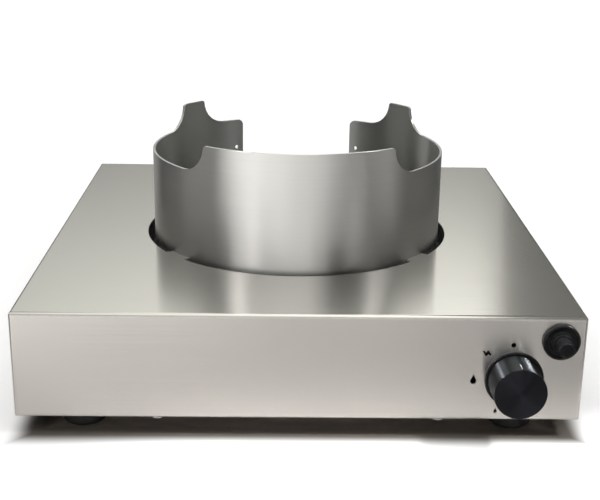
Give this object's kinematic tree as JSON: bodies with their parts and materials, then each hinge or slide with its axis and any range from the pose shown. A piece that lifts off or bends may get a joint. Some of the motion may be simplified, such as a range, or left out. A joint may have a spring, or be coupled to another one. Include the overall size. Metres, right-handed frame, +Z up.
{
  "type": "table-top gas wok range",
  "caption": "Low brushed-steel gas range with one burner, a loose lugged steel ring that carries a wok, a push-and-turn control knob and a push igniter.",
  "frame": {"origin": "on the surface that the feet stand on, under the middle of the whole object, which is the middle of the casing", "axes": "+Z up, the front with the knob faces -Y, +X to the right as seen from the front"},
  "size_m": [0.38, 0.45, 0.1742],
  "materials": {
    "brushed_steel": "stainless sheet brushed from side to side, satin",
    "ring_steel": "stainless strip brushed round the ring, satin",
    "zinc_sheet": "zinc-coated steel sheet",
    "zinc_fastener": "bright zinc-plated fasteners",
    "foot_rubber": "moulded black rubber",
    "black_enamel": "black vitreous enamel, semi-gloss",
    "cast_aluminium": "as-cast aluminium",
    "brass": "machined brass",
    "valve_brass": "forged brass, dull",
    "pipe_metal": "drawn aluminium tube",
    "plain_steel": "turned steel",
    "spring_steel": "spring wire",
    "sensor_metal": "heat-stained nickel alloy",
    "copper_lead": "thin copper lead",
    "black_plastic": "black moulded plastic, semi-gloss",
    "knob_metal": "black anodised aluminium, turned face",
    "white_paint": "white line",
    "red_silicone": "red silicone high-tension lead",
    "white_ceramic": "white alumina",
    "white_nylon": "natural nylon"
  },
  "bodies": {
    "range": {"casing": "brushed_steel", "base_plate": "zinc_sheet", "base_screws": "zinc_fastener", "base_nuts": "zinc_fastener", "foot_front_left": "foot_rubber", "foot_front_right": "foot_rubber", "foot_rear_left": "foot_rubber", "foot_rear_right": "foot_rubber", "foot_washers": "zinc_fastener", "foot_screws": "zinc_fastener", "foot_nuts": "zinc_fastener", "spill_tray": "black_enamel", "tray_studs": "zinc_fastener", "tray_nuts": "zinc_fastener", "burner_bracket": "zinc_sheet", "bracket_rivets": "zinc_fastener", "burner_cup": "cast_aluminium", "burner_screws": "zinc_fastener", "injector_holder": "brass", "injector": "brass", "burner_pipe": "pipe_metal", "burner_pipe_nuts": "brass", "supply_pipe": "pipe_metal", "supply_pipe_nuts": "brass", "gas_inlet": "brass", "inlet_locknut": "brass", "valve_bracket": "zinc_sheet", "valve_screws": "zinc_fastener", "valve_body": "valve_brass", "valve_bonnet": "valve_brass", "bonnet_screws": "zinc_fastener", "magnet_unit": "plain_steel", "magnet_nut": "brass", "knob_bezel": "black_plastic", "igniter_housing": "black_plastic", "igniter_nut": "zinc_fastener", "igniter_spring": "spring_steel", "igniter_terminal": "brass", "ignition_lead": "red_silicone", "electrode_insulator": "white_ceramic", "electrode_rod": "plain_steel", "electrode_clip": "zinc_fastener", "thermocouple": "sensor_metal", "thermocouple_nut": "brass", "thermocouple_lead": "copper_lead", "lead_clips": "white_nylon"},
    "ring": {"wok_ring": "ring_steel"},
    "crown": {"burner_crown": "brass"},
    "cap": {"burner_cap": "black_enamel"},
    "plug": {"valve_plug": "brass", "spindle_spring": "spring_steel"},
    "knob": {"control_knob": "knob_metal", "knob_insert": "black_plastic", "knob_pointer": "white_paint", "valve_spindle": "plain_steel"},
    "button": {"igniter_button": "black_plastic"}
  },
  "joints": [
    {"name": "ring_lift", "type": "slide", "parent": "range", "child": "ring", "axis": [0, 0, 1], "range_m": [0, 0.12]},
    {"name": "crown_lift", "type": "slide", "parent": "range", "child": "crown", "axis": [0, 0, 1], "range_m": [0, 0.06]},
    {"name": "cap_lift", "type": "slide", "parent": "crown", "child": "cap", "axis": [0, 0, 1], "range_m": [0, 0.05]},
    {"name": "knob_turn", "type": "hinge", "parent": "range", "child": "plug", "pos_m": [0.1435, -0.167, 0.0419], "axis": [0, -1, 0], "range_deg": [0, 154]},
    {"name": "knob_push", "type": "slide", "parent": "plug", "child": "knob", "axis": [0, 1, 0], "range_m": [0, 0.0035], "stiffness_N_per_m": 1500, "springref_m": -0.004, "deforming": ["spindle_spring"]},
    {"name": "igniter_press", "type": "slide", "parent": "range", "child": "button", "axis": [0, 1, 0], "range_m": [0, 0.006], "stiffness_N_per_m": 2000, "springref_m": -0.003, "deforming": ["igniter_spring"]}
  ]
}
